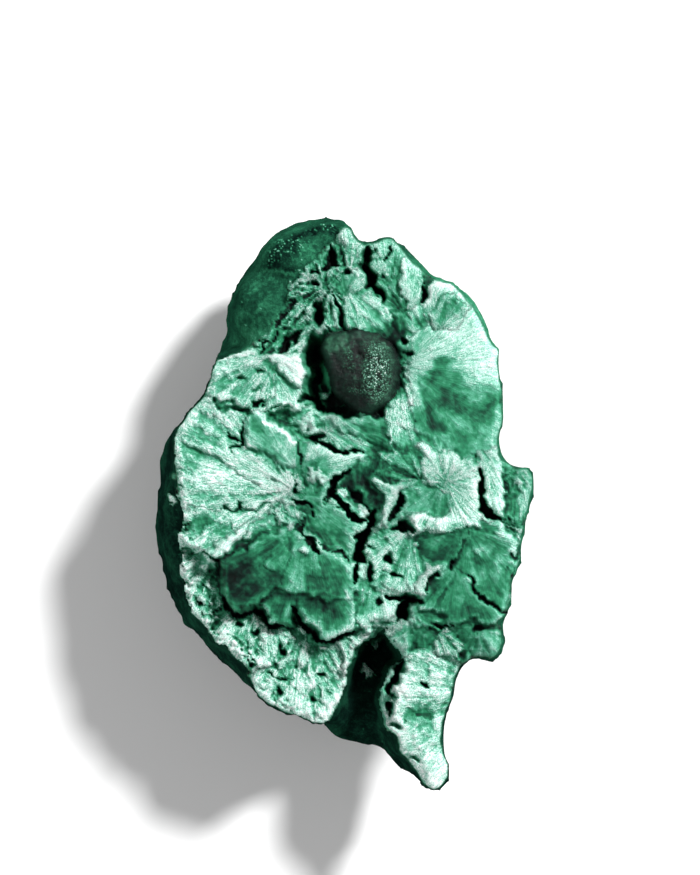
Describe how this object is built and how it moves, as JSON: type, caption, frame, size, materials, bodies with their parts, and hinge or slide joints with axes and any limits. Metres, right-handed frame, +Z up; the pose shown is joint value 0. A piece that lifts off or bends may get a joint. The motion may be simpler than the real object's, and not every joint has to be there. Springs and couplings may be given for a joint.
{
  "type": "malachite specimen",
  "caption": "Hand-held fragment of fibrous malachite: a broken face of silky green plates with a dark round nodule and a prong, over a smooth botryoidal back, resting on its flat underside",
  "frame": {"origin": "middle of the footprint's box, at the height of the flat that the stone rests on", "axes": "+Z up out of the broken face, +Y along the stone from the prong to the thick end, +X across it towards the ear"},
  "size_m": [0.0288, 0.0436, 0.0184],
  "materials": {
    "malachite": "silky"
  },
  "bodies": {
    "root": {"malachite": "malachite"}
  },
  "joints": []
}
